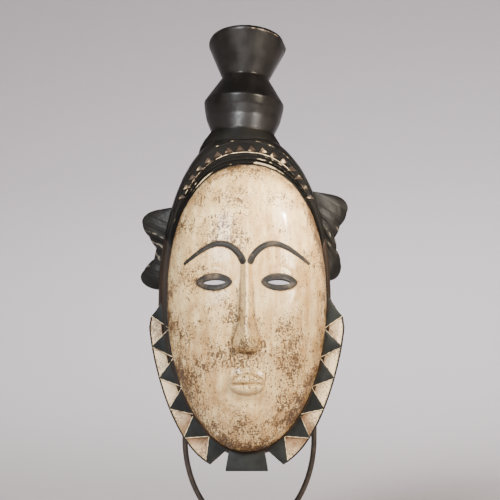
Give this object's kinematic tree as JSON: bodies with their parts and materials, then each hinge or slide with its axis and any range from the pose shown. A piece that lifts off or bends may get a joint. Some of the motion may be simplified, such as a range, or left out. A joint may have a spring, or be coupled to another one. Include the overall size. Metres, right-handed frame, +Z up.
{
  "type": "baule mask",
  "caption": "Carved wooden face mask with a tall turned crest, side tufts and a zigzag collar, hollow behind, held up by a bent rod on a flat foot plate.",
  "frame": {"origin": "middle of the foot plate's underside", "axes": "+Z up, the mask's face towards -Y, +X to the right of someone who looks at the face"},
  "size_m": [0.1997, 0.1702, 0.5394],
  "materials": {
    "painted_wood": "old gloss paint, worn",
    "dark_steel": "dark satin"
  },
  "bodies": {
    "root": {"mask": "painted_wood", "stand_rod": "dark_steel", "stand_foot": "dark_steel"}
  },
  "joints": []
}
